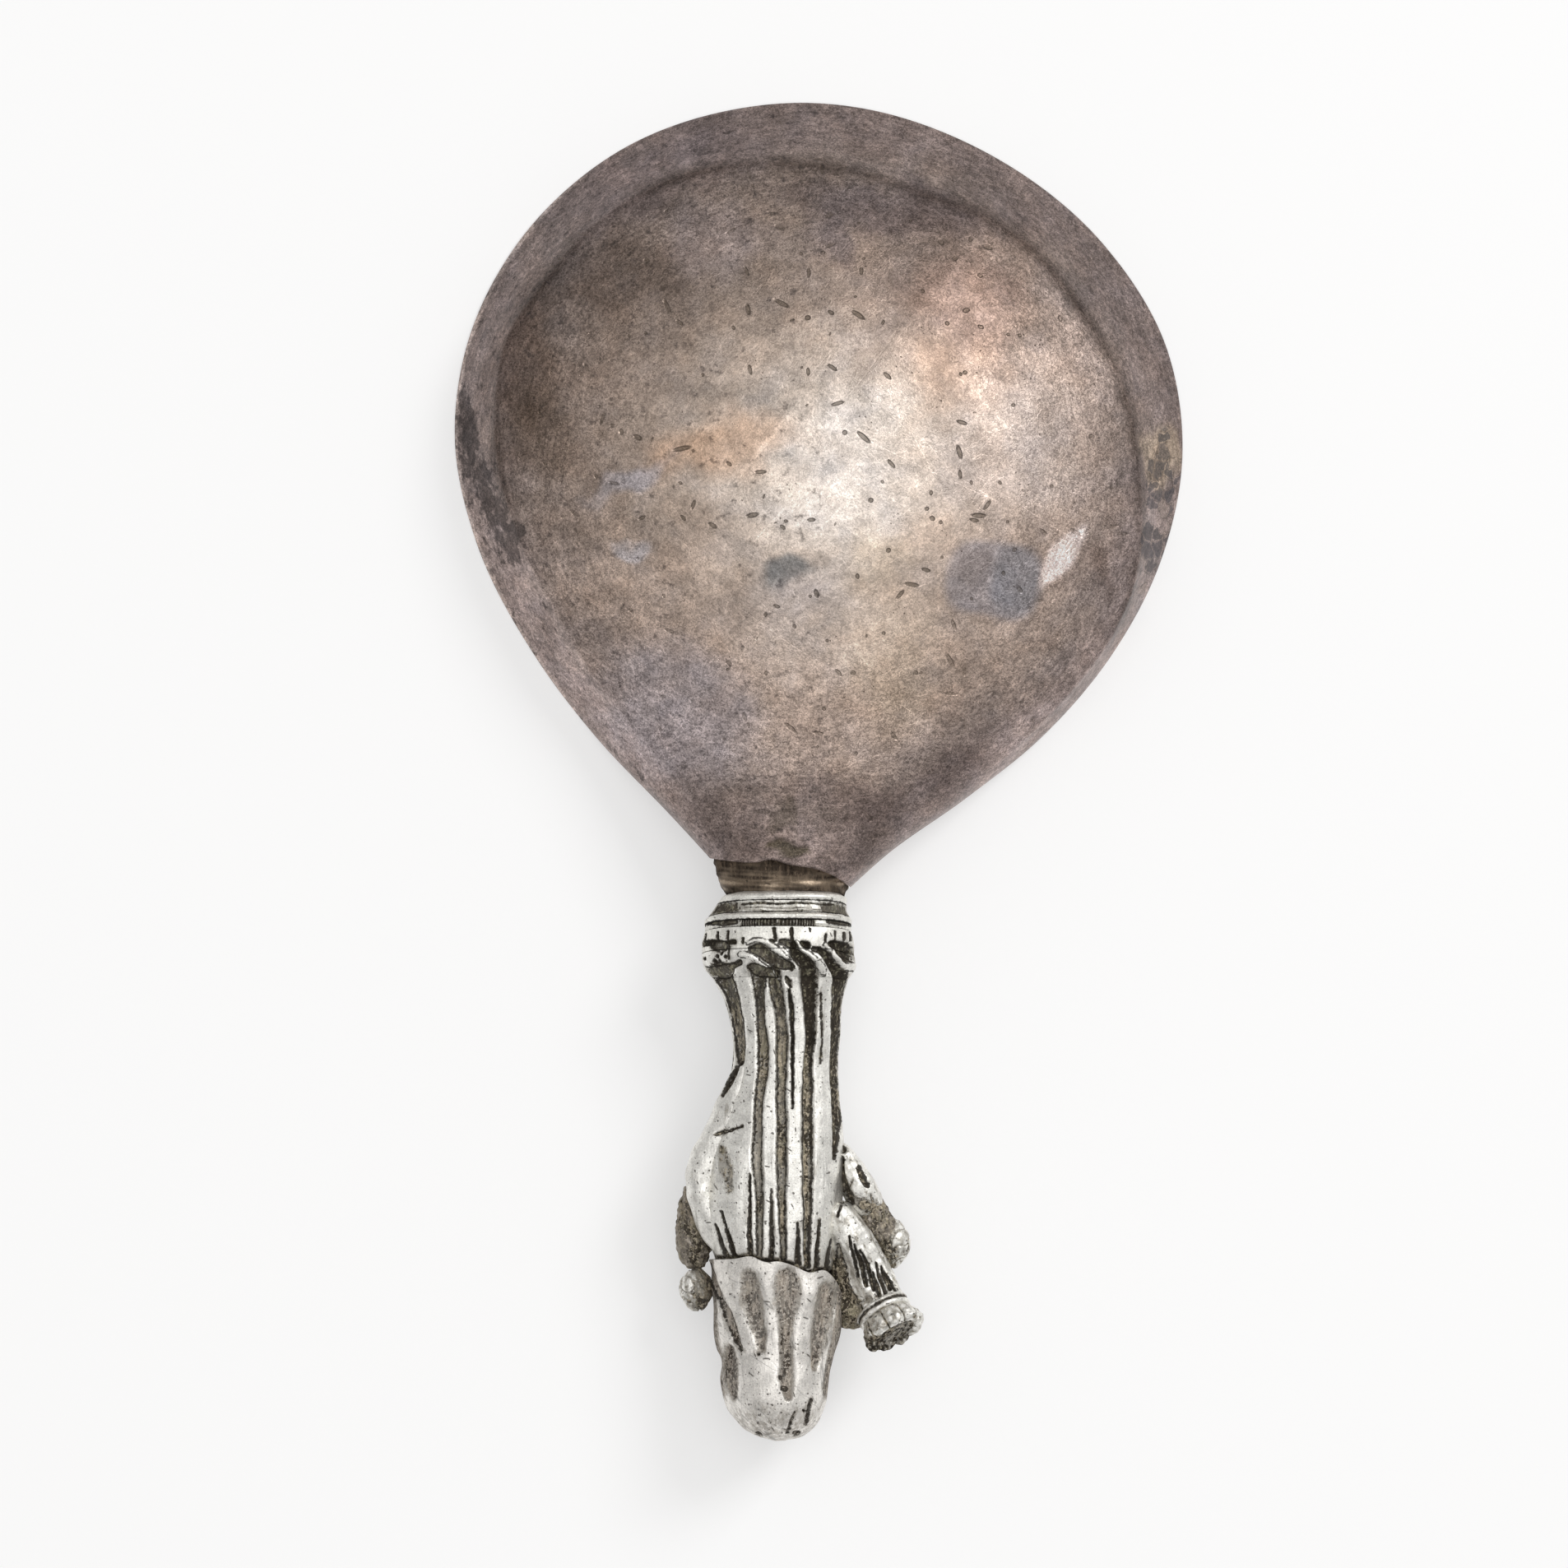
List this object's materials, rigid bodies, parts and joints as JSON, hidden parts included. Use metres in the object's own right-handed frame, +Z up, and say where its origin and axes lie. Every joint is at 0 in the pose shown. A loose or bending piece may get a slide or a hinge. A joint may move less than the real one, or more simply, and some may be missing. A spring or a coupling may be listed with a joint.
{
  "type": "spoon",
  "caption": "Silver spoon lying face down: broad fig-shaped bowl, moulded collar, and a short cast handle in the form of a veiled, draped figure.",
  "frame": {"origin": "on the ground, under the middle of the spoon's bounding box", "axes": "the spoon lies face down, back up: +Z up, +Y from the handle's end to the bowl's tip, +X to the right of the back as it is seen with the bowl away from the viewer"},
  "size_m": [0.0653, 0.12, 0.016],
  "materials": {
    "tarnished_bowl": "hammered and planished silver with warm brown and blue-grey tarnish, nicks and scratches",
    "cast_silver": "worn cast silver, bright on the high folds and black-brown in the hollows",
    "oxidised_silver": "cast silver, dark with oxide and pitted",
    "plain_silver": "plain drawn silver bar, hidden inside"
  },
  "bodies": {
    "root": {"bowl": "tarnished_bowl", "neck": "tarnished_bowl", "tenon": "plain_silver", "collar_crown_ring": "cast_silver", "collar_scotia": "cast_silver", "collar_bead_ring": "cast_silver", "milled_wire": "cast_silver", "base_drum": "cast_silver", "gown_hem": "cast_silver", "gown": "cast_silver", "mantle_fold": "cast_silver", "head": "oxidised_silver", "veil": "cast_silver", "right_forearm": "oxidised_silver", "right_hand": "oxidised_silver", "left_elbow": "cast_silver", "left_forearm": "oxidised_silver", "left_hand": "oxidised_silver", "raised_sleeve": "cast_silver", "sleeve_cuff": "cast_silver", "lobed_mouth": "cast_silver"}
  },
  "joints": []
}
